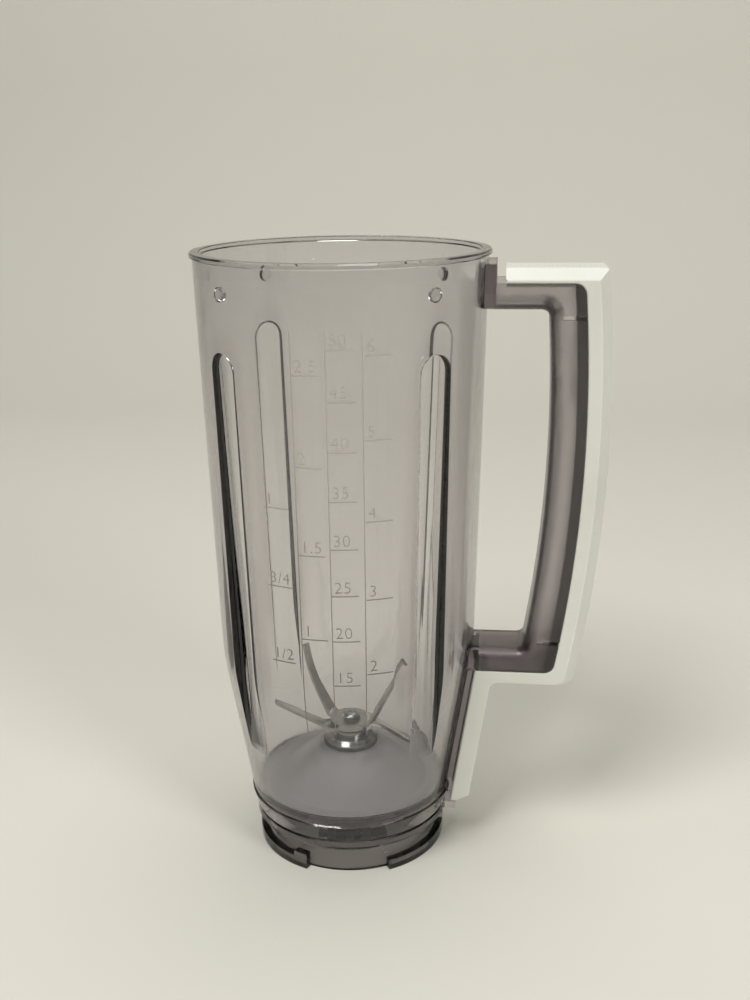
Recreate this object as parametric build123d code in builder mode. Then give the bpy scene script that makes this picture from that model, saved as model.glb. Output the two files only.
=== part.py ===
from build123d import *
from math import atan, cos, degrees, radians, sin, sqrt
import os

# Clear blender jar with a white handle cover and a blade unit that spins in its floor.
# Millimetres, +Z up. The origin is on the jar's axis, in the plane of the skirt's lower edge.
# The handle points along +X.

# Cup: an upper wall with little draft, a knee, and a lower wall that draws in to the base
jar_height = 238.0
mouth_radius = 53.9
knee_height = 82.0
knee_radius = 49.9
knee_blend = 90.0
foot_height = 20.0
foot_radius = 39.9
wall = 2.5
bead_height = 2.2
bead_stand = 1.1
bead_round = 0.6
lid_land = 8.0

# Floor: a broad cone up to the pad where the bearing housing sits
floor_height = 25.0
floor_thickness = 3.0
floor_corner = 5.0
cone_foot_radius = 31.0
pad_radius = 12.5
pad_height = 39.5

# Base: two moulded rings over a plain skirt with bayonet lugs
skirt_radius = 35.0
skirt_wall = 2.5
seat_height = 11.4
seat_radius = 39.0
seat_chamfer = 0.8
seat_top = 14.8
groove_depth = 1.2
collar_top = 22.5
collar_stand = 0.5
lug_count = 3
lug_start = -60.0
lug_arc = 69.0
lug_stand = 2.9
lug_height = 4.2
stop_height = 6.4
stop_length = 6.0
key_width = 8.0
key_height = 7.0
key_reach = 43.4

# Flutes pressed into the wall, and the lid's nubs over them. Each floor runs out on the lower wall.
flute_azimuths = (45.0, 135.0, 225.0, 315.0)
flute_width = 13.4
flute_depth = 2.4
flute_wall = 1.5
flute_drop = 32.0
flute_tip = 46.0
flute_round = 1.2
swelling_width = 36.0
nub_radius = 2.6
nub_stand = 1.9
nub_round = 1.5
nub_drop = 12.0

# Handle: the grip follows one large arc, seen along Y. Its upper heights are drops from the rim.
handle_width = 24.0
grip_radius = 545.0
apex_drop = 60.0
grip_reach = 90.0
clear_depth = 13.0
cover_depth = 9.0
cover_drop = 6.2
part_drop = 11.5
loop_drop = 21.0
loop_bottom = 86.2
part_bottom = 77.4
cover_bottom = 71.9
loop_round = 3.0
part_round = 4.0
finger_round = 5.0
boss_reach = 56.7
boss_drop = 4.6
arm_root = 3.0
cover_start = 60.0
frame_side = 2.2
frame_base = 2.6
pocket_round = 3.2
ledge_depth = 3.6
mouth_half = 3.0
slit_length = 8.4
slit_height = 1.6
upper_slit = 2.5
lower_slit = 3.6

# White cover: bevelled along the top and the grip, with a strip down to the base
bevel = 4.0
cover_wall = 2.2
cover_side = 3.5
lip_height = 1.2
lip_clearance = 0.15
edge_round = 0.8
strip_gap = 1.65
strip_depth = 7.2
strip_end = 19.4
fin_stand = 1.5
strip_nose_width = 2.4
strip_nose_height = 4.6
heel_round = 3.0
shoulder_round = 2.0
inner_round = 3.4
barb_stand = 2.0

# Blade unit, stacked along the shaft
gasket_height = 1.0
gasket_radius = 11.0
housing_flange_radius = 10.5
housing_flange_height = 2.5
housing_chamfer = 1.5
neck_collar_radius = 6.6
neck_collar_top = 45.6
neck_radius = 7.0
neck_bottom = 22.0
neck_clearance = 0.2
nut_height = 5.0
nut_flats = 20.0
shaft_radius = 3.0
running_clearance = 0.03
seat_clearance = 0.02
face_clearance = 0.3
bush_radius = 4.6
bush_length = 7.5
seal_height = 2.5
relief_radius = 4.0
washer_radius = 5.5
washer_height = 1.1
stud_radius = 2.5
blade_thickness = 1.2
hub_radius = 8.0
cap_flats = 6.8
cap_hex_height = 1.6
cap_dome_height = 0.9
ring_thickness = 1.2
ring_radius = 5.0
coupling_radius = 13.0
coupling_bottom = 5.0
coupling_hub_radius = 7.0
coupling_disc = 4.0
dog_count = 6
dog_width = 4.0
dog_height = 5.0

# Blade wings: how far out and how high each one's middle line bends and ends
blade_root = 9.4
upper_azimuth = 151.5
lower_azimuth = 206.5
rear_bend = (19.8, 64.0)
rear_tip = (22.2, 76.5)
front_tip = (26.6, 79.5)
left_tip = (31.0, 62.0)
right_tip = (29.1, 30.9)
bend_round = 4.0
sweep_round = 45.0
upper_root_width = 5.4
upper_tip_width = 2.8
lower_root_width = 9.0
lower_tip_width = 2.6

# Sizes that follow from those above
upper_draft = (mouth_radius - knee_radius) / (jar_height - bead_height - knee_height)
lower_draft = (knee_radius - foot_radius) / (knee_height - foot_height)
upper_lean = degrees(atan(upper_draft))
flute_top = jar_height - flute_drop
nub_height = jar_height - nub_drop
grip_apex = jar_height - apex_drop
cover_top = jar_height - cover_drop
part_top = jar_height - part_drop
loop_top = jar_height - loop_drop
boss_top = jar_height - boss_drop
slit_heights = (loop_top - upper_slit, loop_bottom + lower_slit)
rim_radius = mouth_radius + bead_stand
mouth_bore = mouth_radius - wall
skirt_bore = skirt_radius - skirt_wall
lug_radius = skirt_radius + lug_stand
half_width = handle_width / 2
pocket_half = half_width - frame_side
lip_half = pocket_half - lip_clearance
cover_half = half_width - cover_side
rib_half = mouth_half - lip_clearance
lip_start = cover_start + lip_clearance
lip_top = part_top - lip_height
lip_bottom = part_bottom + lip_height
hollow_start = cover_start + cover_wall
hollow_top = cover_top - cover_wall
hollow_bottom = cover_bottom + cover_wall
base_top = loop_top + frame_base
base_bottom = loop_bottom - frame_base
base_depth = frame_base - clear_depth
fin_half = cover_half - lip_clearance
fin_end = strip_end + cover_wall + lip_clearance
grip_centre = grip_reach - grip_radius
gasket_top = pad_height + gasket_height
flange_top = gasket_top + housing_flange_height
neck_hole = neck_radius + neck_clearance
bush_bore = shaft_radius + running_clearance
washer_bottom = neck_collar_top + face_clearance
blade_seat = washer_bottom + washer_height
upper_seat = blade_seat + blade_thickness
cap_seat = upper_seat + blade_thickness
cap_top = cap_seat + cap_hex_height + cap_dome_height
stud_top = cap_seat + cap_hex_height
lower_washer_top = neck_bottom - face_clearance
ring_top = lower_washer_top - washer_height
coupling_top = ring_top - ring_thickness
fit_bore = shaft_radius + seat_clearance
stud_bore = stud_radius + seat_clearance

# Solids placed by their outer end or by their foot
inwards = (Align.MAX, Align.CENTER, Align.CENTER)
upwards = (Align.CENTER, Align.CENTER, Align.MIN)

os.makedirs("parts", exist_ok=True)


def upper_wall(height):
    """Outer radius of the upper wall at a height."""
    return knee_radius + (height - knee_height) * upper_draft


def lower_wall(height):
    """Outer radius of the lower wall at a height."""
    return knee_radius + (height - knee_height) * lower_draft


def axial_plane(azimuth):
    """Plane through the jar's axis: local x runs outwards, local y runs up."""
    turn = radians(azimuth)
    return Plane((0, 0, 0), x_dir=(cos(turn), sin(turn), 0), z_dir=(sin(turn), -cos(turn), 0))


def wall_plane(azimuth, height, inset, lean):
    """Plane that leans from the jar's axis, a given depth under the upper wall's outer face."""
    turn = radians(azimuth)
    reach = upper_wall(height) - inset
    return Plane(
        (reach * cos(turn), reach * sin(turn), height),
        x_dir=(-sin(turn), cos(turn), 0),
        z_dir=(cos(radians(lean)) * cos(turn), cos(radians(lean)) * sin(turn), -sin(radians(lean))),
    )


def flute_lean():
    """Lean of a flute's floor, which runs out on the lower wall at the tip."""
    floor_fall = upper_wall(flute_top) - flute_depth - lower_wall(flute_tip)
    return degrees(atan(floor_fall / (flute_top - flute_tip)))


def flute_block(azimuth):
    """Block that cuts a flute: round at the top, open past the tip, its floor's edge rounded."""
    floor = wall_plane(azimuth, flute_top, flute_depth, flute_lean())
    half = flute_width / 2
    foot = flute_tip - flute_width - flute_top
    with BuildPart() as block:
        with BuildSketch(floor):
            with BuildLine():
                crown = ThreePointArc((half, -half), (0, 0), (-half, -half))
                Polyline(crown @ 1, (-half, foot), (half, foot), crown @ 0)
            make_face()
        extrude(amount=flute_depth + flute_width)
        fillet(block.faces().sort_by_distance(floor.origin)[0].edges(), flute_round)
    return block.part


def flute_swelling(azimuth):
    """Long round-ended body that leaves a gentle swelling inside the cup, behind a flute."""
    ridge = wall_plane(azimuth, flute_top, flute_depth + flute_wall, flute_lean())
    half = swelling_width / 2
    rise = flute_depth + flute_wall - wall
    bulge = (half**2 + rise**2) / (2 * rise)
    crown = -flute_width / 2
    foot = flute_tip - flute_width - flute_top
    side = Plane(ridge.origin, x_dir=ridge.y_dir, z_dir=ridge.x_dir)
    with BuildPart() as swelling:
        with BuildSketch(side):
            with BuildLine():
                end = ThreePointArc(
                    (crown, 0),
                    (crown + bulge * sin(radians(45)), bulge * (1 - cos(radians(45)))),
                    (crown + bulge, bulge),
                )
                Polyline(end @ 1, (foot, bulge), (foot, 0), end @ 0)
            make_face()
        axle = Axis(side.from_local_coords((0, bulge, 0)), ridge.y_dir)
        revolve(axis=axle)
    return swelling.part


def nub(azimuth):
    """Round nub that stands in from the wall."""
    seat = wall_plane(azimuth, nub_height, wall + nub_stand, upper_lean)
    with BuildPart() as knob:
        with BuildSketch(seat):
            Circle(nub_radius)
        extrude(amount=nub_stand + wall / 2)
        fillet(knob.faces().sort_by_distance(seat.origin)[0].edges(), nub_round)
    return knob.part


def grip_at(height, offset):
    """Distance of the grip's arc from the jar's axis at a height."""
    return grip_centre + sqrt((grip_radius + offset) ** 2 - (height - grip_apex) ** 2)


def strip_at(height, offset):
    """Distance of the strip's inner line, or one beside it, from the jar's axis."""
    return lower_wall(height) + strip_gap + offset


def grip_region(start, top, bottom, offset, rounding):
    """Region from a start line out to the grip's arc, with its two outer corners rounded."""
    upper_corner = (grip_at(top, offset), top)
    lower_corner = (grip_at(bottom, offset), bottom)
    with BuildSketch() as region:
        with BuildLine():
            arc = ThreePointArc(upper_corner, (grip_at(grip_apex, offset), grip_apex), lower_corner)
            Polyline(arc @ 1, (start, bottom), (start, top), arc @ 0)
        make_face()
        if rounding > 0:
            fillet(region.vertices().sort_by(Axis.X)[-2:], rounding)
    return region.sketch


def strip_region(top, bottom, inner, outer):
    """Band beside the lower wall, between two offsets from the strip's inner line."""
    with BuildSketch() as region:
        with BuildLine():
            Polyline(
                (strip_at(top, inner), top),
                (strip_at(bottom, inner), bottom),
                (strip_at(bottom, outer), bottom),
                (strip_at(top, outer), top),
                close=True,
            )
        make_face()
    return region.sketch


# Inside of the cup, taken out of the moulding once the outside is whole
with BuildPart() as cavity:
    with BuildSketch(Plane.XZ) as inside:
        with BuildLine():
            Polyline(
                (0, jar_height),
                (mouth_bore, jar_height),
                (mouth_bore, jar_height - lid_land),
                (knee_radius - wall, knee_height),
                (lower_wall(floor_height) - wall, floor_height),
                (cone_foot_radius, floor_height),
                (pad_radius, pad_height),
                (0, pad_height),
                close=True,
            )
        make_face()
        floor_edge = (lower_wall(floor_height) - wall, floor_height)
        fillet(inside.vertices().sort_by_distance(floor_edge)[0], floor_corner)
        knee = (knee_radius - wall, knee_height)
        fillet(inside.vertices().sort_by_distance(knee)[0], knee_blend)
    revolve(axis=Axis.Z)
    for azimuth in flute_azimuths:
        add(flute_swelling(azimuth), mode=Mode.SUBTRACT)


def round_loop(part, top, bottom, offset, half, rounding):
    """Rounds the edges round the finger loop, or round the pocket's base behind it, on both sides."""
    near = frame_side / 2

    def beside_loop(edge):
        middle = edge.position_at(0.5)
        inside = middle.X < grip_at(middle.Z, offset) + near
        return inside and abs(middle.Y) > half - near and bottom - near < middle.Z < top + near

    fillet(part.edges().filter_by(beside_loop), rounding)


# Inside of the handle's channel: closed towards the fingers, with a narrow mouth along the grip
with BuildPart() as pocket:
    with BuildSketch(Plane.XZ):
        add(grip_region(boss_reach, part_top + wall, part_bottom - wall, -ledge_depth, 0))
        root = lower_wall(part_bottom) + arm_root
        with Locations((root, part_bottom - wall)):
            Rectangle(boss_reach - root, loop_bottom - part_bottom, align=(Align.MIN, Align.MIN))
        add(grip_region(foot_radius, base_top, base_bottom, base_depth, loop_round), mode=Mode.SUBTRACT)
    extrude(amount=pocket_half, both=True)
    round_loop(pocket, base_top, base_bottom, base_depth, pocket_half, pocket_round)
    with BuildSketch(Plane.XZ):
        add(grip_region(cover_start, part_top + wall, part_bottom - wall, wall, 0))
        add(grip_region(foot_radius, base_top, base_bottom, -clear_depth / 2, 0), mode=Mode.SUBTRACT)
    extrude(amount=mouth_half, both=True)

# Handle frame: two arms and a grip round a loop for the fingers, and a fin that the strip sits over
with BuildPart() as frame:
    with BuildSketch(Plane.XZ):
        add(grip_region(foot_radius, part_top, part_bottom, 0, part_round))
        add(grip_region(foot_radius, loop_top, loop_bottom, -clear_depth, loop_round), mode=Mode.SUBTRACT)
        with Locations((boss_reach, boss_top)):
            Rectangle(boss_reach - foot_radius, boss_top - loop_top, align=(Align.MAX, Align.MAX))
    extrude(amount=half_width, both=True)
    round_loop(frame, loop_top, loop_bottom, -clear_depth, half_width, finger_round)
    add(pocket.part, mode=Mode.SUBTRACT)
    with BuildSketch(Plane.XZ):
        add(strip_region(part_bottom, fin_end, -strip_gap - wall, fin_stand))
    extrude(amount=fin_half, both=True)
    for height in slit_heights:
        with Locations((grip_at(height, 0), 0, height)):
            Box(slit_length, handle_width, slit_height, align=inwards, mode=Mode.SUBTRACT)

# Clear moulding: cup, base and handle frame in one
with BuildPart() as jar:
    with BuildSketch(Plane.XZ) as section:
        with BuildLine():
            Polyline(
                (0, floor_height - floor_thickness),
                (skirt_bore, floor_height - floor_thickness),
                (skirt_bore, 0),
                (skirt_radius, 0),
                (skirt_radius, seat_height),
                (seat_radius - seat_chamfer, seat_height),
                (seat_radius, seat_height + seat_chamfer),
                (seat_radius, seat_top),
                (seat_radius - groove_depth, seat_top + groove_depth / 2),
                (seat_radius, seat_top + groove_depth),
                (lower_wall(collar_top) + collar_stand, collar_top - collar_stand),
                (lower_wall(collar_top) + collar_stand, collar_top),
                (lower_wall(collar_top), collar_top + collar_stand),
                (knee_radius, knee_height),
                (mouth_radius, jar_height - bead_height),
                (rim_radius, jar_height - bead_height + bead_round),
                (rim_radius, jar_height - bead_round),
                (rim_radius - bead_round, jar_height),
                (0, jar_height),
                close=True,
            )
        make_face()
        fillet(section.vertices().sort_by_distance((knee_radius, knee_height))[0], knee_blend)
    revolve(axis=Axis.Z)
    for azimuth in flute_azimuths:
        add(flute_block(azimuth), mode=Mode.SUBTRACT)
    add(frame.part)
    add(cavity.part, mode=Mode.SUBTRACT)
    # The raised pad is hollow underneath, with a hole for the housing's neck
    with BuildSketch(Plane.XZ):
        with BuildLine():
            Polyline(
                (0, floor_height - floor_thickness),
                (cone_foot_radius, floor_height - floor_thickness),
                (pad_radius, pad_height - floor_thickness),
                (neck_hole, pad_height - floor_thickness),
                (neck_hole, pad_height),
                (0, pad_height),
                close=True,
            )
        make_face()
    revolve(axis=Axis.Z, mode=Mode.SUBTRACT)
    for turn in range(lug_count):
        azimuth = lug_start + turn * 360 / lug_count
        with BuildSketch(axial_plane(azimuth)):
            with Locations((skirt_radius - skirt_wall / 2, 0)):
                Rectangle(lug_stand + skirt_wall / 2, lug_height, align=(Align.MIN, Align.MIN))
        revolve(axis=Axis.Z, revolution_arc=lug_arc)
        with BuildSketch(axial_plane(azimuth + lug_arc)):
            with Locations((skirt_radius - skirt_wall / 2, 0)):
                Rectangle(lug_stand + skirt_wall / 2, stop_height, align=(Align.MIN, Align.MIN))
        revolve(axis=Axis.Z, revolution_arc=-degrees(stop_length / lug_radius))
    with Locations((key_reach, 0, seat_height + key_height / 2)):
        Box(key_reach - skirt_radius, key_width, key_height, align=inwards)
    for azimuth in flute_azimuths:
        add(nub(azimuth))
jar.part.label = "jar"
export_step(jar.part, "parts/jar.step")

# White cover: closes the channel and carries the bevels that show
with BuildPart() as handle_cover:
    with BuildSketch(Plane.XZ) as outside:
        add(grip_region(cover_start, cover_top, cover_bottom, cover_depth, 0))
        add(strip_region(part_bottom, strip_end, 0, strip_depth))
        arm_start = strip_at(part_bottom, 0)
        with Locations((arm_start, cover_bottom)):
            Rectangle(cover_start - arm_start, part_bottom - cover_bottom, align=(Align.MIN, Align.MIN))
        add(grip_region(foot_radius, part_top, part_bottom, 0, part_round), mode=Mode.SUBTRACT)
        nose = (strip_at(strip_end, strip_depth), strip_end)
        chamfer(outside.vertices().sort_by_distance(nose)[0], strip_nose_width, strip_nose_height)
        elbow = (strip_at(cover_bottom, strip_depth), cover_bottom)
        fillet(outside.vertices().sort_by_distance(elbow)[0], inner_round)
    extrude(amount=half_width, both=True)
    top_edges = handle_cover.faces().sort_by(Axis.Z)[-1].edges().filter_by(Axis.X)
    grip_edges = handle_cover.edges().filter_by(GeomType.CIRCLE).sort_by(Edge.length)[-2:]
    chamfer(top_edges + grip_edges, bevel)
    shoulder = (grip_at(cover_top, cover_depth), 0, cover_top)
    fillet(handle_cover.edges().filter_by(Axis.Y).sort_by_distance(shoulder)[0], shoulder_round)
    heel = grip_at(cover_bottom, cover_depth) - bevel
    under = handle_cover.edges().filter_by_position(Axis.Z, cover_bottom, cover_bottom)
    fillet(under.filter_by(lambda edge: edge.position_at(0.5).X > heel), heel_round)
    fillet(handle_cover.faces().filter_by(Axis.Y).edges(), edge_round)
    # A lip plugs into each arm's channel
    with BuildSketch(Plane.XZ):
        add(grip_region(lip_start, part_top, part_bottom, -ledge_depth - lip_clearance, 0))
        add(grip_region(lip_start, lip_top, lip_bottom, 0, 0), mode=Mode.SUBTRACT)
    extrude(amount=lip_half, both=True)
    with BuildSketch(Plane.XZ):
        add(grip_region(hollow_start, hollow_top, hollow_bottom, cover_depth - cover_wall, 0))
        add(grip_region(hollow_start, lip_top, lip_bottom, 0, 0), mode=Mode.SUBTRACT)
        add(strip_region(part_bottom, strip_end + cover_wall, 0, strip_depth - cover_wall))
    extrude(amount=cover_half, both=True, mode=Mode.SUBTRACT)
    # A rib stands in the grip's mouth, with a barb that snaps into each slit
    with BuildSketch(Plane.XZ):
        add(grip_region(hollow_start, hollow_top, hollow_bottom, cover_depth - cover_wall, 0))
        add(grip_region(hollow_start, part_top, part_bottom, -ledge_depth, 0), mode=Mode.SUBTRACT)
    extrude(amount=rib_half, both=True)
    for height in slit_heights:
        with Locations((grip_at(height, 0), 0, height)):
            Box(ledge_depth, 2 * (rib_half + barb_stand), slit_height - 2 * lip_clearance, align=inwards)
handle_cover.part.label = "handle_cover"
export_step(handle_cover.part, "parts/handle_cover.step")

# Bearing housing: collar, flange and threaded neck, bored for two bushes and a seal
with BuildPart() as bearing_housing:
    with BuildSketch(Plane.XZ):
        with BuildLine():
            Polyline(
                (relief_radius, neck_bottom + bush_length),
                (bush_radius + seat_clearance, neck_bottom + bush_length),
                (bush_radius + seat_clearance, neck_bottom),
                (neck_radius, neck_bottom),
                (neck_radius, gasket_top),
                (housing_flange_radius, gasket_top),
                (housing_flange_radius, flange_top - housing_chamfer),
                (housing_flange_radius - housing_chamfer, flange_top),
                (neck_collar_radius, flange_top),
                (neck_collar_radius, neck_collar_top),
                (bush_radius + seat_clearance, neck_collar_top),
                (bush_radius + seat_clearance, neck_collar_top - seal_height - bush_length),
                (relief_radius, neck_collar_top - seal_height - bush_length),
                close=True,
            )
        make_face()
    revolve(axis=Axis.Z)
bearing_housing.part.label = "bearing_housing"
export_step(bearing_housing.part, "parts/bearing_housing.step")


def ring_piece(label, bottom, height, outer, bore):
    """Flat ring on the jar's axis, written as its own piece."""
    with BuildPart() as piece:
        with BuildSketch(Plane.XY.offset(bottom)):
            Circle(outer)
            Circle(bore, mode=Mode.SUBTRACT)
        extrude(amount=height)
    piece.part.label = label
    export_step(piece.part, "parts/" + label + ".step")


ring_piece("lower_bush", neck_bottom, bush_length, bush_radius, bush_bore)
ring_piece("upper_bush", neck_collar_top - seal_height - bush_length, bush_length, bush_radius, bush_bore)
ring_piece("shaft_seal", neck_collar_top - seal_height, seal_height, bush_radius, bush_bore + seat_clearance)
ring_piece("housing_gasket", pad_height, gasket_height, gasket_radius, neck_hole)
ring_piece("thrust_washer", washer_bottom, washer_height, washer_radius, fit_bore)
ring_piece("lower_washer", ring_top, washer_height, washer_radius, fit_bore)

# Hexagon nut that pulls the housing down on its gasket
with BuildPart() as housing_nut:
    with BuildSketch(Plane.XY.offset(pad_height - floor_thickness)):
        RegularPolygon(nut_flats / 2, 6, major_radius=False)
        Circle(neck_radius + seat_clearance, mode=Mode.SUBTRACT)
    extrude(amount=-nut_height)
housing_nut.part.label = "housing_nut"
export_step(housing_nut.part, "parts/housing_nut.step")

# Shaft with a shoulder for the blades and a stud for the cap nut
with BuildPart() as drive_shaft:
    with BuildSketch(Plane.XY.offset(coupling_bottom)):
        Circle(shaft_radius)
    extrude(amount=blade_seat - coupling_bottom)
    with BuildSketch(Plane.XY.offset(blade_seat)):
        Circle(stud_radius)
    extrude(amount=stud_top - blade_seat)
drive_shaft.part.label = "drive_shaft"
export_step(drive_shaft.part, "parts/drive_shaft.step")


def blade_piece(label, seat, azimuth, near_path, far_path, widths):
    """Stamped blade: a hub with two bent wings, given as the middle lines of its side view."""
    root_width, tip_width = widths
    middle = seat + blade_thickness / 2
    line = [(-x, z) for x, z in reversed(far_path)]
    line += [(-blade_root, middle), (blade_root, middle)]
    line += near_path
    rounds = [bend_round, bend_round] + [sweep_round] * (len(near_path) - 1)
    far_reach = far_path[-1][0]
    near_reach = near_path[-1][0]
    with BuildPart() as blade:
        with BuildSketch(axial_plane(azimuth)):
            with BuildLine() as bend:
                FilletPolyline(*line, radius=rounds)
            trace(bend.line, line_width=blade_thickness)
        extrude(amount=hub_radius, both=True)
        with BuildSketch(Plane.XY.rotated((0, 0, azimuth))):
            Circle(hub_radius)
            with BuildLine():
                Polyline(
                    (near_reach + blade_thickness, tip_width / 2),
                    (blade_root, root_width / 2),
                    (-blade_root, root_width / 2),
                    (-far_reach - blade_thickness, tip_width / 2),
                    (-far_reach - blade_thickness, -tip_width / 2),
                    (-blade_root, -root_width / 2),
                    (blade_root, -root_width / 2),
                    (near_reach + blade_thickness, -tip_width / 2),
                    close=True,
                )
            make_face()
        extrude(amount=jar_height, mode=Mode.INTERSECT)
        with Locations((0, 0, middle)):
            Cylinder(stud_bore, 2 * blade_thickness, mode=Mode.SUBTRACT)
    blade.part.label = label
    export_step(blade.part, "parts/" + label + ".step")


upper_widths = (upper_root_width, upper_tip_width)
lower_widths = (lower_root_width, lower_tip_width)
blade_piece("blade_upper", upper_seat, upper_azimuth, [rear_bend, rear_tip], [front_tip], upper_widths)
blade_piece("blade_lower", blade_seat, lower_azimuth, [left_tip], [right_tip], lower_widths)

# Domed cap nut over the shaft's stud
with BuildPart() as cap_nut:
    with BuildSketch(Plane.XY.offset(cap_seat)):
        RegularPolygon(cap_flats / 2, 6, major_radius=False)
    extrude(amount=cap_hex_height)
    with BuildSketch(Plane.XZ):
        with BuildLine():
            dome = ThreePointArc(
                (cap_flats / 2, stud_top),
                (cap_flats / 2 * cos(radians(45)), stud_top + cap_dome_height * sin(radians(45))),
                (0, cap_top),
            )
            Polyline(dome @ 1, (0, stud_top), dome @ 0)
        make_face()
    revolve(axis=Axis.Z)
    with Locations((0, 0, cap_seat)):
        Cylinder(stud_bore, cap_hex_height, align=upwards, mode=Mode.SUBTRACT)
cap_nut.part.label = "cap_nut"
export_step(cap_nut.part, "parts/cap_nut.step")

# Open ring that snaps on the shaft under the lower washer
with BuildPart() as retaining_ring:
    with BuildSketch(Plane.XY.offset(coupling_top)):
        Circle(ring_radius)
        Circle(fit_bore, mode=Mode.SUBTRACT)
        with Locations((ring_radius, 0)):
            Rectangle(2 * ring_radius, shaft_radius, mode=Mode.SUBTRACT)
    extrude(amount=ring_thickness)
retaining_ring.part.label = "retaining_ring"
export_step(retaining_ring.part, "parts/retaining_ring.step")

# Drive coupling: a hub and a disc with dogs that the drive unit catches
with BuildPart() as drive_coupling:
    with BuildSketch(Plane.XY.offset(coupling_bottom + dog_height)):
        Circle(coupling_radius)
    extrude(amount=coupling_disc)
    with BuildSketch(Plane.XY.offset(coupling_bottom)):
        Circle(coupling_hub_radius)
    extrude(amount=coupling_top - coupling_bottom)
    with BuildSketch(Plane.XY.offset(coupling_bottom)):
        with PolarLocations(0, dog_count):
            Rectangle(2 * coupling_radius, dog_width, align=(Align.MIN, Align.CENTER))
        Circle(coupling_radius, mode=Mode.INTERSECT)
    extrude(amount=dog_height)
    with BuildSketch(Plane.XY.offset(coupling_bottom)):
        Circle(fit_bore)
    extrude(amount=coupling_top - coupling_bottom, mode=Mode.SUBTRACT)
drive_coupling.part.label = "drive_coupling"
export_step(drive_coupling.part, "parts/drive_coupling.step")
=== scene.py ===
from math import cos, pi, radians, sin

import bmesh
import bpy
from mathutils import Matrix, Vector
from mathutils.bvhtree import BVHTree


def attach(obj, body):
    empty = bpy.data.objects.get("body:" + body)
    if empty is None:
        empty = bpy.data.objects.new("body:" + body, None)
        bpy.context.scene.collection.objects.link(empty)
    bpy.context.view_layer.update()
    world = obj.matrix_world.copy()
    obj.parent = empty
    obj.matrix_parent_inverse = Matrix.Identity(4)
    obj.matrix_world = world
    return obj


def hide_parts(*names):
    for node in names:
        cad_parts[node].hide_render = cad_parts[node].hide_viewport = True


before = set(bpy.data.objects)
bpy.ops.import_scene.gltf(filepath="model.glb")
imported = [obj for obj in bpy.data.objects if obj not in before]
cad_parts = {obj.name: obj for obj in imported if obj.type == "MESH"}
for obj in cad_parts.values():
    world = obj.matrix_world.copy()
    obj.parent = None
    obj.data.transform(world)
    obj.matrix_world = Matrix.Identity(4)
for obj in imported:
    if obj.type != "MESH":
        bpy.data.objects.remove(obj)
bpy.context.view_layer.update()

MM = 0.001

# Photograph: its height in pixels, and the place and lens that it was taken with
PHOTO_HEIGHT = 1000
FOCAL_PIXELS = 1200
SENSOR_MM = 36.0
EYE_MM = (61.4, -439.4, 279.8)
LOOK_AZIMUTH = 96.5
LOOK_DOWN = 17.27
LOOK_ROLL = -0.735

# Jar's wall: the knee's height, its radius outside and how far its round reaches, the drafts under and over
# it, the wall's thickness, the heights between which it is plain, and the swellings inside
KNEE_MM = 82.0
KNEE_RADIUS_MM = 49.9
KNEE_REACH_MM = 6.0
LOWER_DRAFT = 10.0 / 62.0
UPPER_DRAFT = 4.0 / 153.8
WALL_MM = 2.5
WALL_FOOT_MM = 23.0
WALL_HEAD_MM = 235.0
SWELLING_RISE_MM = 1.5
SWELLING_TOP_MM = 221.0

# Borders in the clear plastic: where a finish ends and where it is full. The middle of the lower wall and the
# handle's start are given as they are at the jar's foot, along the wall's draft.
WALL_MIDDLE_MM = (35.9, 34.9)
FLOOR_UNDER_MM = (20.5, 21.0)
FLOOR_EDGE_MM = (38.5, 36.0)
SPLASHED_MM = (72.0, 40.5)
HANDLE_START_MM = (49.3, 50.8)

# Clear plastic: its IOR and tint, the roughness of each part of it, how much of the frosting the wall has,
# how much light the frosting lets through, and the size of its scuffs and streaks
STYRENE_IOR = 1.56
TINT_DENSITY = 110.0
POLISHED = (0.01, 0.05)
FROSTED = (0.32, 0.42)
CHANNEL_ROUGHNESS = 0.3
SPLASHED_SHARE = 0.25
FROSTED_CLARITY = 0.66
SCUFF_MM = 3.0
STREAK_MM = 4.0
STREAK_SHRINK = (1, 1, 0.04)

# The handle's tint is full up to the first height, and this share of it is left from the second on
ARM_TOP_MM = (85.0, 100.0)
UPPER_TINT_SHARE = 0.3

# Values of a noise between which each pattern goes from none to full
GRAIN_SPAN = (0.3, 0.7)
STREAK_SPAN = (0.35, 0.75)
PATCH_SPAN = (0.35, 0.65)

# Steel: the roll's lines, how far they are stretched, and the lathe's rings. A wave texture draws this many
# waves in one cell.
ROLL_LINE_MM = 1.2
ROLL_SHRINK = (0.05, 1, 0.05)
RING_GAP_MM = 2.5133
WAVES_PER_CELL = 20 / (2 * pi)

# Volume scale, raised on the outside of the front wall. Each column has the azimuth where its marks
# start, the words on them, the height of the first mark and the rise to the next one.
SCALE_COLUMNS = (
    (244.5, ("1/2", "3/4", "1"), 95.0, 29.4),
    (258.8, ("1", "1.5", "2", "2.5"), 105.2, 32.0),
    (271.6, ("15", "20", "25", "30", "35", "40", "45", "50"), 87.3, 17.5),
    (285.4, ("2", "3", "4", "5", "6"), 91.5, 29.1),
)
DIVIDER_AZIMUTHS = (258.6, 271.4, 284.9)
DIVIDER_FOOT_MM = 66.0
DIVIDER_HEAD_MM = 216.0
DIVIDER_WIDTH_MM = 0.3
DIVIDER_STEPS = 40
MARK_LENGTH_MM = 9.6
MARK_WIDTH_MM = 0.4
MARK_STEPS = 8
DIGIT_SIZE_MM = 6.2
DIGIT_LIFT_MM = 1.2
DIGIT_START_MM = 0.8
DIGIT_THINNER_MM = 0.11
DIGIT_SPACING = 1.05
DIGIT_STEPS = 3
RELIEF_MM = 0.25

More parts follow.
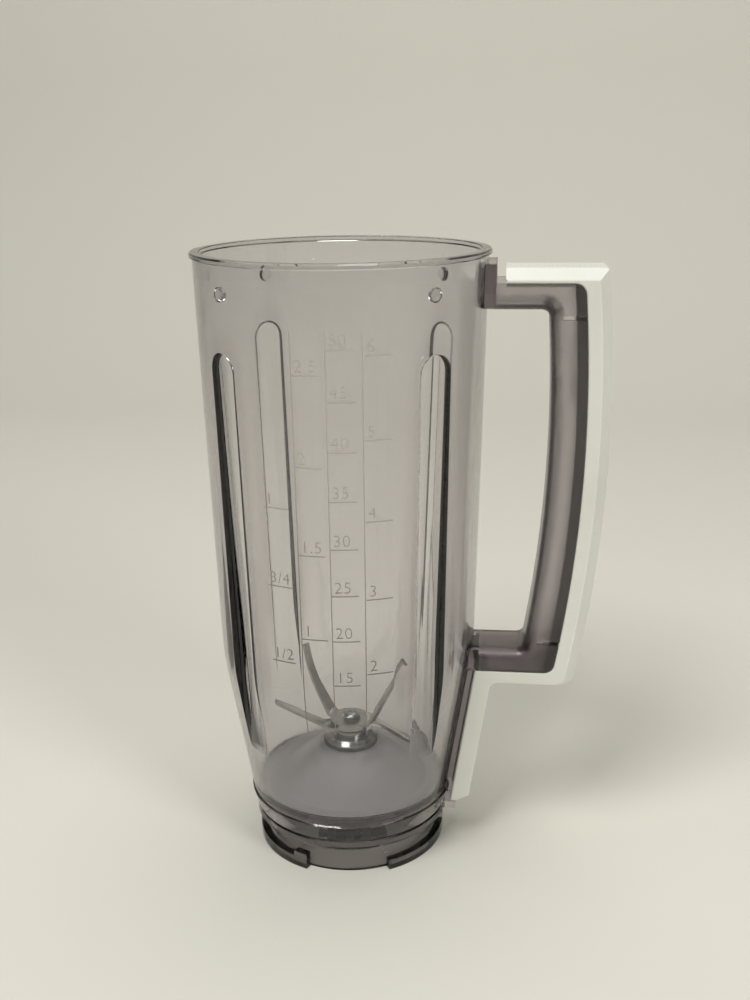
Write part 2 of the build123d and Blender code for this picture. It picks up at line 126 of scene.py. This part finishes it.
# Heights between which the marks fade, the size and depth of their uneven wear, and a radius outside the jar
MARK_FADE_MM = (95.0, 170.0)
MARK_PATCH_MM = 5.0
MARK_UNEVEN = 0.4
OUTSIDE_MM = 80.0

# Finer facets: the distance that welds corners, the angle that a facet may span, the cuts across a wider one,
# where creases start, and how nearly a face has to lie on the plain wall to belong to it
WELD_MM = 0.001
FACET_DEGREES = 2.0
FACET_CUTS = 3
CREASE_DEGREES = 25.0
FACING_LIMIT = 0.85
WALL_SLACK_MM = 0.35

# Studio, in metres: a sheet of paper that sweeps up behind the jar, and soft lamps, each with its place, size
# and watts
SWEEP_HALF = 2.5
SWEEP_FRONT = -2.5
SWEEP_BACK = 1.1
SWEEP_BEND = 0.35
SWEEP_STEPS = 12
SWEEP_TOP = 3.0
LAMPS = (
    ("key", (-0.45, -0.85, 1.55), 0.7, 18.0),
    ("fill", (1.2, -1.1, 0.9), 0.5, 11.0),
    ("top", (0.1, 0.2, 1.9), 0.9, 9.0),
)
LAMP_TARGET = (0.02, 0.0, 0.12)


def linear(hex_colour):
    """An sRGB hex colour as the linear red, green, blue and alpha that shaders take."""
    channels = [int(hex_colour[i:i + 2], 16) / 255 for i in (1, 3, 5)]
    bent = [c / 12.92 if c <= 0.04045 else ((c + 0.055) / 1.055) ** 2.4 for c in channels]
    return (*bent, 1.0)


def add_node(material, kind, settings=None, **links):
    """Adds one shader node: settings go to its own fields, links to its input sockets. A socket is named, or
    given by its number after an underscore."""
    node = material.node_tree.nodes.new(kind)
    for field, value in (settings or {}).items():
        setattr(node, field, value)
    for name, value in links.items():
        key = int(name[1:]) if name[1:].isdigit() else name.replace("_", " ")
        socket = node.inputs[key]
        if isinstance(value, bpy.types.NodeSocket):
            material.node_tree.links.new(value, socket)
        else:
            socket.default_value = value
    return node


def new_material(name):
    """An empty material, the node that it ends in, and each point's place on the piece."""
    material = bpy.data.materials.new(name)
    material.use_nodes = True
    material.node_tree.nodes.clear()
    output = add_node(material, "ShaderNodeOutputMaterial")
    place = add_node(material, "ShaderNodeTexCoord").outputs["Object"]
    return material, output, place


def per_metre(size_mm):
    """Texture scale that makes one cell of a pattern as large as a size in millimetres."""
    return 1 / (size_mm * MM)


def clear_smoke_plastic():
    """Injection-moulded styrene copolymer with a smoke tint. It is polished, so edges and flutes show as
    dark and bright lines. Years of blending have frosted the floor and, a little, the inside of the wall
    over it, so what lies under the floor shows only as shade. The handle's thick sections hold more tint."""
    material, output, place = new_material("clear_smoke_plastic")
    flat = add_node(material, "ShaderNodeVectorMath", {"operation": "MULTIPLY"}, _0=place, _1=(1, 1, 0))
    radius = add_node(material, "ShaderNodeVectorMath", {"operation": "LENGTH"},
                      _0=flat.outputs["Vector"]).outputs["Value"]
    axes = add_node(material, "ShaderNodeSeparateXYZ", Vector=place).outputs
    # A point's radius, and its reach towards the handle, followed down the draft to the jar's foot
    drawn_in = add_node(material, "ShaderNodeMath", {"operation": "MULTIPLY_ADD"}, _0=axes["Z"],
                        _1=-LOWER_DRAFT, _2=radius).outputs["Value"]
    past_wall = add_node(material, "ShaderNodeMath", {"operation": "MULTIPLY_ADD"}, _0=axes["Z"],
                         _1=-UPPER_DRAFT, _2=axes["X"]).outputs["Value"]
    borders = (
        (drawn_in, WALL_MIDDLE_MM),
        (axes["Z"], FLOOR_UNDER_MM),
        (radius, FLOOR_EDGE_MM),
        (axes["Z"], SPLASHED_MM),
        (past_wall, HANDLE_START_MM),
    )
    inside, over_base, within_floor, low, handle = [
        add_node(material, "ShaderNodeMapRange", {"interpolation_type": "SMOOTHSTEP"}, Value=value,
                 From_Min=none_mm * MM, From_Max=full_mm * MM).outputs["Result"]
        for value, (none_mm, full_mm) in borders
    ]
    # Only what faces the drink is worn: it lies nearer to the axis than the middle of the drafted wall
    inner = add_node(material, "ShaderNodeMath", {"operation": "MULTIPLY"}, _0=inside, _1=over_base)
    floor = add_node(material, "ShaderNodeMath", {"operation": "MULTIPLY"}, _0=inner.outputs["Value"],
                     _1=within_floor)
    low_wall = add_node(material, "ShaderNodeMath", {"operation": "MULTIPLY"}, _0=inner.outputs["Value"],
                        _1=low)
    splashed = add_node(material, "ShaderNodeMath", {"operation": "MULTIPLY"}, _0=low_wall.outputs["Value"],
                        _1=SPLASHED_SHARE)
    worn = add_node(material, "ShaderNodeMath", {"operation": "MAXIMUM"}, _0=floor.outputs["Value"],
                    _1=splashed.outputs["Value"]).outputs["Value"]
    # Scuffs where it is worn, and long faint streaks down the rest
    scuffs = add_node(material, "ShaderNodeTexNoise", Vector=place, Scale=per_metre(SCUFF_MM), Detail=2.0)
    frosted = add_node(material, "ShaderNodeMapRange", Value=scuffs.outputs["Fac"], From_Min=GRAIN_SPAN[0],
                       From_Max=GRAIN_SPAN[1], To_Min=FROSTED[0], To_Max=FROSTED[1])
    drawn = add_node(material, "ShaderNodeVectorMath", {"operation": "MULTIPLY"}, _0=place, _1=STREAK_SHRINK)
    streaks = add_node(material, "ShaderNodeTexNoise", Vector=drawn.outputs["Vector"],
                       Scale=per_metre(STREAK_MM), Detail=3.0)
    hazed = add_node(material, "ShaderNodeMapRange", Value=streaks.outputs["Fac"], From_Min=STREAK_SPAN[0],
                     From_Max=STREAK_SPAN[1], To_Min=POLISHED[0], To_Max=POLISHED[1])
    see_through = add_node(material, "ShaderNodeMapRange", Value=worn, To_Min=1.0, To_Max=FROSTED_CLARITY)
    # The handle's channel came from a plainer half of the mould, so its clear sides are less polished
    sides = add_node(material, "ShaderNodeMix", {"data_type": "FLOAT"}, Factor=handle,
                     A=hazed.outputs["Result"], B=CHANNEL_ROUGHNESS)
    rough = add_node(material, "ShaderNodeMix", {"data_type": "FLOAT"}, Factor=worn,
                     A=sides.outputs["Result"], B=frosted.outputs["Result"])
    # The lower arm is the thickest section, so its tint is the deepest
    thick = add_node(material, "ShaderNodeMapRange", Value=axes["Z"], From_Min=ARM_TOP_MM[0] * MM,
                     From_Max=ARM_TOP_MM[1] * MM, To_Min=1.0, To_Max=UPPER_TINT_SHARE)
    deeper = add_node(material, "ShaderNodeMath", {"operation": "MULTIPLY"}, _0=handle,
                      _1=thick.outputs["Result"])
    colour = add_node(material, "ShaderNodeMix", {"data_type": "RGBA"}, Factor=deeper.outputs["Value"],
                      _6=linear("#ffffff"), _7=linear("#cbc1c5"))
    surface = add_node(material, "ShaderNodeBsdfPrincipled", Base_Color=colour.outputs[2], IOR=STYRENE_IOR,
                       Transmission_Weight=see_through.outputs["Result"], Roughness=rough.outputs["Result"])
    tint = add_node(material, "ShaderNodeVolumeAbsorption", Color=linear("#9a8c93"), Density=TINT_DENSITY)
    material.node_tree.links.new(surface.outputs["BSDF"], output.inputs["Surface"])
    material.node_tree.links.new(tint.outputs["Volume"], output.inputs["Volume"])
    return material


def grained(name, dark, light, patch_mm, grain_mm, relief_mm, roughness, metallic=0.0):
    """Surface that drifts between two colours in patches, with a fine grain that breaks up its shine. The
    grain is drawn coarser than the real one, so that it shows."""
    material, output, place = new_material(name)
    patches = add_node(material, "ShaderNodeTexNoise", Vector=place, Scale=per_metre(patch_mm), Detail=3.0)
    drift = add_node(material, "ShaderNodeMapRange", Value=patches.outputs["Fac"], From_Min=PATCH_SPAN[0],
                     From_Max=PATCH_SPAN[1])
    colour = add_node(material, "ShaderNodeMix", {"data_type": "RGBA"}, Factor=drift.outputs["Result"],
                      _6=linear(dark), _7=linear(light))
    grain = add_node(material, "ShaderNodeTexNoise", Vector=place, Scale=per_metre(grain_mm), Detail=2.0)
    low, high = roughness
    rough = add_node(material, "ShaderNodeMapRange", Value=grain.outputs["Fac"], From_Min=GRAIN_SPAN[0],
                     From_Max=GRAIN_SPAN[1], To_Min=low, To_Max=high)
    relief = add_node(material, "ShaderNodeBump", Strength=0.6, Distance=relief_mm * MM,
                      Height=grain.outputs["Fac"])
    surface = add_node(material, "ShaderNodeBsdfPrincipled", Base_Color=colour.outputs[2], Metallic=metallic,
                       Roughness=rough.outputs["Result"], Normal=relief.outputs["Normal"])
    material.node_tree.links.new(surface.outputs["BSDF"], output.inputs["Surface"])
    return material


def stamped_stainless():
    """Cold-rolled stainless sheet, stamped and polished: a soft grey mirror with faint lines along the
    roll."""
    material, output, place = new_material("stamped_stainless")
    drawn = add_node(material, "ShaderNodeVectorMath", {"operation": "MULTIPLY"}, _0=place, _1=ROLL_SHRINK)
    lines = add_node(material, "ShaderNodeTexNoise", Vector=drawn.outputs["Vector"],
                     Scale=per_metre(ROLL_LINE_MM), Detail=1.0)
    rough = add_node(material, "ShaderNodeMapRange", Value=lines.outputs["Fac"], From_Min=GRAIN_SPAN[0],
                     From_Max=GRAIN_SPAN[1], To_Min=0.15, To_Max=0.24)
    shade = add_node(material, "ShaderNodeMix", {"data_type": "RGBA"}, Factor=lines.outputs["Fac"],
                     _6=linear("#9a9a97"), _7=linear("#b6b6b3"))
    surface = add_node(material, "ShaderNodeBsdfPrincipled", Base_Color=shade.outputs[2], Metallic=1.0,
                       Roughness=rough.outputs["Result"])
    material.node_tree.links.new(surface.outputs["BSDF"], output.inputs["Surface"])
    return material


def turned_stainless():
    """Stainless turned on a lathe: bright, with rings that the tool left, drawn 2.5 mm apart so that they
    show."""
    material, output, place = new_material("turned_stainless")
    rings = add_node(material, "ShaderNodeTexWave", {"wave_type": "RINGS", "rings_direction": "Z"},
                     Vector=place, Scale=per_metre(RING_GAP_MM) / WAVES_PER_CELL, Distortion=0.6, Detail=2.0)
    rough = add_node(material, "ShaderNodeMapRange", Value=rings.outputs["Fac"], To_Min=0.14, To_Max=0.26)
    shade = add_node(material, "ShaderNodeMix", {"data_type": "RGBA"}, Factor=rings.outputs["Fac"],
                     _6=linear("#868684"), _7=linear("#a2a2a0"))
    surface = add_node(material, "ShaderNodeBsdfPrincipled", Base_Color=shade.outputs[2], Metallic=1.0,
                       Roughness=rough.outputs["Result"])
    material.node_tree.links.new(surface.outputs["BSDF"], output.inputs["Surface"])
    return material


def matt_marks():
    """The mould's cutter left the scale's marks matt, so they read as grey lines. They are paler higher up,
    where they stand out less and less from the wall."""
    material, output, place = new_material("matt_scale_marks")
    height = add_node(material, "ShaderNodeSeparateXYZ", Vector=place).outputs["Z"]
    faded = add_node(material, "ShaderNodeMapRange", Value=height, From_Min=MARK_FADE_MM[0] * MM,
                     From_Max=MARK_FADE_MM[1] * MM)
    patches = add_node(material, "ShaderNodeTexNoise", Vector=place, Scale=per_metre(MARK_PATCH_MM),
                       Detail=2.0)
    uneven = add_node(material, "ShaderNodeMath", {"operation": "MULTIPLY_ADD"}, _0=patches.outputs["Fac"],
                      _1=MARK_UNEVEN, _2=-MARK_UNEVEN / 2)
    share = add_node(material, "ShaderNodeMath", {"operation": "ADD", "use_clamp": True},
                     _0=faded.outputs["Result"], _1=uneven.outputs["Value"])
    colour = add_node(material, "ShaderNodeMix", {"data_type": "RGBA"}, Factor=share.outputs["Value"],
                      _6=linear("#7a7571"), _7=linear("#aba59d"))
    surface = add_node(material, "ShaderNodeBsdfPrincipled", Base_Color=colour.outputs[2], Roughness=0.6)
    material.node_tree.links.new(surface.outputs["BSDF"], output.inputs["Surface"])
    return material


clear = clear_smoke_plastic()
# ABS moulded in a spark-eroded tool: satin off-white, a little yellowed, with a grain drawn 0.5 mm wide
white = grained("satin_white_abs", "#d4d4c8", "#dcdcd2", 45.0, 0.5, 0.02, (0.26, 0.36))
steel = stamped_stainless()
turned = turned_stainless()
# Pressed and sintered bronze powder: dull gold, open-grained
bronze = grained("sintered_bronze", "#9a7848", "#b8935c", 6.0, 0.4, 0.02, (0.4, 0.6), 1.0)
# Nitrile rubber from a matt mould: near black, with a dry grey bloom
rubber = grained("nitrile_rubber", "#19191a", "#262627", 8.0, 0.6, 0.03, (0.55, 0.75))
# Glass-filled nylon: black, faintly mottled where the fibres come to the surface
nylon = grained("black_filled_nylon", "#131314", "#1f1f20", 10.0, 0.8, 0.03, (0.4, 0.6))
marking = matt_marks()

FINISHES = (
    (clear, ("jar",)),
    (white, ("handle_cover",)),
    (steel, ("blade_upper", "blade_lower")),
    (turned, ("cap_nut", "thrust_washer", "lower_washer", "drive_shaft", "retaining_ring",
              "bearing_housing")),
    (bronze, ("upper_bush", "lower_bush")),
    (rubber, ("shaft_seal", "housing_gasket")),
    (nylon, ("housing_nut", "drive_coupling")),
)
for finish, nodes in FINISHES:
    for node in nodes:
        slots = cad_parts[node].data.materials
        slots.clear()
        slots.append(finish)


def wall_radius(height):
    """Outside radius of the plain wall at a height, both in millimetres, without the knee's round."""
    return KNEE_RADIUS_MM + (height - KNEE_MM) * (UPPER_DRAFT if height > KNEE_MM else LOWER_DRAFT)


def plain_normal(point):
    """Outward normal of the plain drafted wall over or under a point. It turns gradually at the knee."""
    share = min(max((point.z / MM - KNEE_MM) / KNEE_REACH_MM * 0.5 + 0.5, 0), 1)
    outwards = point.xy.normalized()
    return Vector((*outwards, -(LOWER_DRAFT + (UPPER_DRAFT - LOWER_DRAFT) * share))).normalized()


def wall_side(face):
    """1 for a face of the wall's outside, -1 for one of its inside or of a swelling there, 0 for others."""
    heights = [vert.co.z / MM for vert in face.verts]
    if min(heights) < WALL_FOOT_MM or max(heights) > WALL_HEAD_MM:
        return 0
    depths = [wall_radius(vert.co.z / MM) - vert.co.xy.length / MM for vert in face.verts]
    facing = face.normal.dot(plain_normal(face.calc_center_median()))
    if facing > FACING_LIMIT and max(map(abs, depths)) < WALL_SLACK_MM:
        return 1
    rise = SWELLING_RISE_MM if max(heights) < SWELLING_TOP_MM else 0
    past_wall = [depth - WALL_MM for depth in depths]
    if facing < -FACING_LIMIT and min(past_wall) > -WALL_SLACK_MM and max(past_wall) < rise + WALL_SLACK_MM:
        return -1
    return 0


def even_jar():
    """The jar's own solid with its round walls cut into finer facets, so that light bends evenly through
    them. The wall is shaded as one plain sweep, also over the low swellings inside, which the eye doesn't
    pick out."""
    jar = bmesh.new()
    jar.from_mesh(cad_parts["jar"].data)
    bmesh.ops.remove_doubles(jar, verts=jar.verts, dist=WELD_MM * MM)
    jar.normal_update()
    reach = jar.verts.layers.float.new("reach")
    side = jar.faces.layers.int.new("side")
    for vert in jar.verts:
        vert[reach] = vert.co.xy.length
    for face in jar.faces:
        face[side] = wall_side(face)
    round_edges = [edge for edge in jar.edges if any(face[side] for face in edge.link_faces)]
    wide = [edge for edge in round_edges
            if edge.verts[0].co.xy.angle(edge.verts[1].co.xy) > radians(FACET_DEGREES)]
    bmesh.ops.subdivide_edges(jar, edges=wide, cuts=FACET_CUTS, use_grid_fill=True)
    for vert in jar.verts:
        if vert[reach] > 0:
            vert.co.xy *= vert[reach] / vert.co.xy.length
    bmesh.ops.triangulate(jar, faces=jar.faces)
    jar.normal_update()
    for edge in jar.edges:
        sides = {face[side] for face in edge.link_faces}
        edge.smooth = len(sides) == 1 and edge.calc_face_angle(pi) < radians(CREASE_DEGREES)
    # A zero normal leaves a corner as its smooth and sharp edges make it
    normals = [plain_normal(corner.vert.co) * face[side] for face in jar.faces for corner in face.loops]
    for face in jar.faces:
        face.smooth = True
    mesh = bpy.data.meshes.new("clear_jar")
    jar.to_mesh(mesh)
    jar.free()
    mesh.normals_split_custom_set(normals)
    mesh.materials.append(clear)
    piece = bpy.data.objects.new("clear_jar", mesh)
    bpy.context.scene.collection.objects.link(piece)
    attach(piece, "jar_body")
    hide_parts("jar")


def wall_finder():
    """A function that finds the outside of the jar's wall at an azimuth and a height."""
    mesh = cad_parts["jar"].data
    tree = BVHTree.FromPolygons([v.co for v in mesh.vertices], [p.vertices for p in mesh.polygons])

    def outside(azimuth, height):
        outwards = Vector((cos(azimuth), sin(azimuth), 0))
        hit = tree.ray_cast(outwards * OUTSIDE_MM * MM + Vector((0, 0, height)), -outwards)
        return hit[0], outwards

    return outside


outside_wall = wall_finder()


def wrap(mark, azimuth, height):
    """Lays a flat bmesh, drawn in metres, on the outside of the wall: its x runs round to the right, its y
    runs up and its z stands out from the wall."""
    start, _ = outside_wall(radians(azimuth), height)
    for vert in mark.verts:
        turn = vert.co.x / start.xy.length
        place, outwards = outside_wall(radians(azimuth) + turn, height + vert.co.y)
        vert.co = place + outwards * vert.co.z


def bar(length, breadth, steps):
    """Straight raised mark from the origin along x, in pieces short enough to follow the wall."""
    mark = bmesh.new()
    bmesh.ops.create_cube(mark, size=1.0)
    bmesh.ops.translate(mark, vec=(0.5, 0, 0.5), verts=mark.verts)
    bmesh.ops.scale(mark, vec=(length, breadth, RELIEF_MM * MM), verts=mark.verts)
    for step in range(1, steps):
        bmesh.ops.bisect_plane(mark, geom=mark.verts[:] + mark.edges[:] + mark.faces[:],
                               plane_co=(length * step / steps, 0, 0), plane_no=(1, 0, 0))
    return mark


def digits(words):
    """Raised digits that start at the origin, as a closed mesh."""
    curve = bpy.data.curves.new("digits", "FONT")
    curve.body = words
    curve.size = DIGIT_SIZE_MM * MM
    curve.extrude = RELIEF_MM * MM / 2
    curve.offset = -DIGIT_THINNER_MM * MM
    curve.resolution_u = DIGIT_STEPS
    curve.space_character = DIGIT_SPACING
    holder = bpy.data.objects.new("digits", curve)
    mark = bmesh.new()
    mesh = bpy.data.meshes.new_from_object(holder)
    mark.from_mesh(mesh)
    bmesh.ops.translate(mark, vec=(0, 0, RELIEF_MM * MM / 2), verts=mark.verts)
    bpy.data.objects.remove(holder)
    bpy.data.curves.remove(curve)
    bpy.data.meshes.remove(mesh)
    return mark


def volume_scale():
    """Volume scale: columns of numbered marks, with upright lines between the columns."""
    whole = bmesh.new()

    def take(mark, azimuth, height):
        wrap(mark, azimuth, height * MM)
        part = bpy.data.meshes.new("mark")
        mark.to_mesh(part)
        whole.from_mesh(part)
        mark.free()
        bpy.data.meshes.remove(part)

    for azimuth, words, first, rise in SCALE_COLUMNS:
        for count, word in enumerate(words):
            height = first + rise * count
            take(bar(MARK_LENGTH_MM * MM, MARK_WIDTH_MM * MM, MARK_STEPS), azimuth, height)
            number = digits(word)
            bmesh.ops.translate(number, vec=(DIGIT_START_MM * MM, DIGIT_LIFT_MM * MM, 0), verts=number.verts)
            take(number, azimuth, height)
    for azimuth in DIVIDER_AZIMUTHS:
        upright = bar((DIVIDER_HEAD_MM - DIVIDER_FOOT_MM) * MM, DIVIDER_WIDTH_MM * MM, DIVIDER_STEPS)
        bmesh.ops.rotate(upright, matrix=Matrix.Rotation(pi / 2, 3, "Z"), verts=upright.verts)
        take(upright, azimuth, DIVIDER_FOOT_MM)
    mesh = bpy.data.meshes.new("volume_scale")
    bmesh.ops.recalc_face_normals(whole, faces=whole.faces)
    whole.to_mesh(mesh)
    whole.free()
    mesh.materials.append(marking)
    scale = bpy.data.objects.new("volume_scale", mesh)
    bpy.context.scene.collection.objects.link(scale)
    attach(scale, "jar_body")


def place_camera():
    """Camera where the photograph was taken from."""
    data = bpy.data.cameras.new("photo_camera")
    data.sensor_width = SENSOR_MM
    data.lens = SENSOR_MM * FOCAL_PIXELS / PHOTO_HEIGHT
    camera = bpy.data.objects.new("photo_camera", data)
    bpy.context.scene.collection.objects.link(camera)
    across, down, roll = radians(LOOK_AZIMUTH), radians(LOOK_DOWN), radians(LOOK_ROLL)
    forward = Vector((cos(across) * cos(down), sin(across) * cos(down), -sin(down)))
    right = forward.cross(Vector((0, 0, 1))).normalized()
    up = right.cross(forward)
    right, up = cos(roll) * right + sin(roll) * up, cos(roll) * up - sin(roll) * right
    turn = Matrix((right, up, -forward)).transposed().to_4x4()
    camera.matrix_world = Matrix.Translation(Vector(EYE_MM) * MM) @ turn
    bpy.context.scene.camera = camera


def paper_sweep():
    """Pale floor that turns up into the backdrop."""
    flat = SWEEP_BACK - SWEEP_BEND
    quarter = [step * pi / 2 / SWEEP_STEPS for step in range(1, SWEEP_STEPS + 1)]
    profile = [(SWEEP_FRONT, 0.0), (flat, 0.0)]
    profile += [(flat + SWEEP_BEND * sin(a), SWEEP_BEND - SWEEP_BEND * cos(a)) for a in quarter]
    profile += [(SWEEP_BACK, SWEEP_TOP)]
    mesh = bpy.data.meshes.new("sweep")
    verts = [(x, y, z) for y, z in profile for x in (-SWEEP_HALF, SWEEP_HALF)]
    faces = [(2 * i, 2 * i + 1, 2 * i + 3, 2 * i + 2) for i in range(len(profile) - 1)]
    mesh.from_pydata(verts, [], faces)
    mesh.polygons.foreach_set("use_smooth", [True] * len(faces))
    material, output, _ = new_material("pale_paper")
    surface = add_node(material, "ShaderNodeBsdfPrincipled", Base_Color=linear("#dcd9cd"), Roughness=0.9)
    material.node_tree.links.new(surface.outputs["BSDF"], output.inputs["Surface"])
    mesh.materials.append(material)
    sweep = bpy.data.objects.new("sweep", mesh)
    bpy.context.scene.collection.objects.link(sweep)


def lights():
    """Surroundings that light the jar dimly but look pale behind it and in it, and soft lamps from the front
    and above."""
    world = bpy.data.worlds.new("pale_room")
    bpy.context.scene.world = world
    world.use_nodes = True
    rays = add_node(world, "ShaderNodeLightPath").outputs
    bent = add_node(world, "ShaderNodeMath", {"operation": "MAXIMUM"}, _0=rays["Is Transmission Ray"],
                    _1=rays["Is Glossy Ray"])
    seen = add_node(world, "ShaderNodeMath", {"operation": "MAXIMUM"}, _0=bent.outputs["Value"],
                    _1=rays["Is Camera Ray"])
    colour = add_node(world, "ShaderNodeMix", {"data_type": "RGBA"}, Factor=seen.outputs["Value"],
                      _6=linear("#5a5a5c"), _7=linear("#a8a59c"))
    world.node_tree.links.new(colour.outputs[2], world.node_tree.nodes["Background"].inputs["Color"])
    for name, place, size, power in LAMPS:
        lamp = bpy.data.lights.new(name, "AREA")
        lamp.size = size
        lamp.energy = power
        light = bpy.data.objects.new(name, lamp)
        bpy.context.scene.collection.objects.link(light)
        light.location = place
        light.rotation_euler = (Vector(LAMP_TARGET) - light.location).to_track_quat("-Z", "Y").to_euler()


even_jar()
volume_scale()
place_camera()
paper_sweep()
lights()
bpy.context.scene.view_settings.view_transform = "Standard"
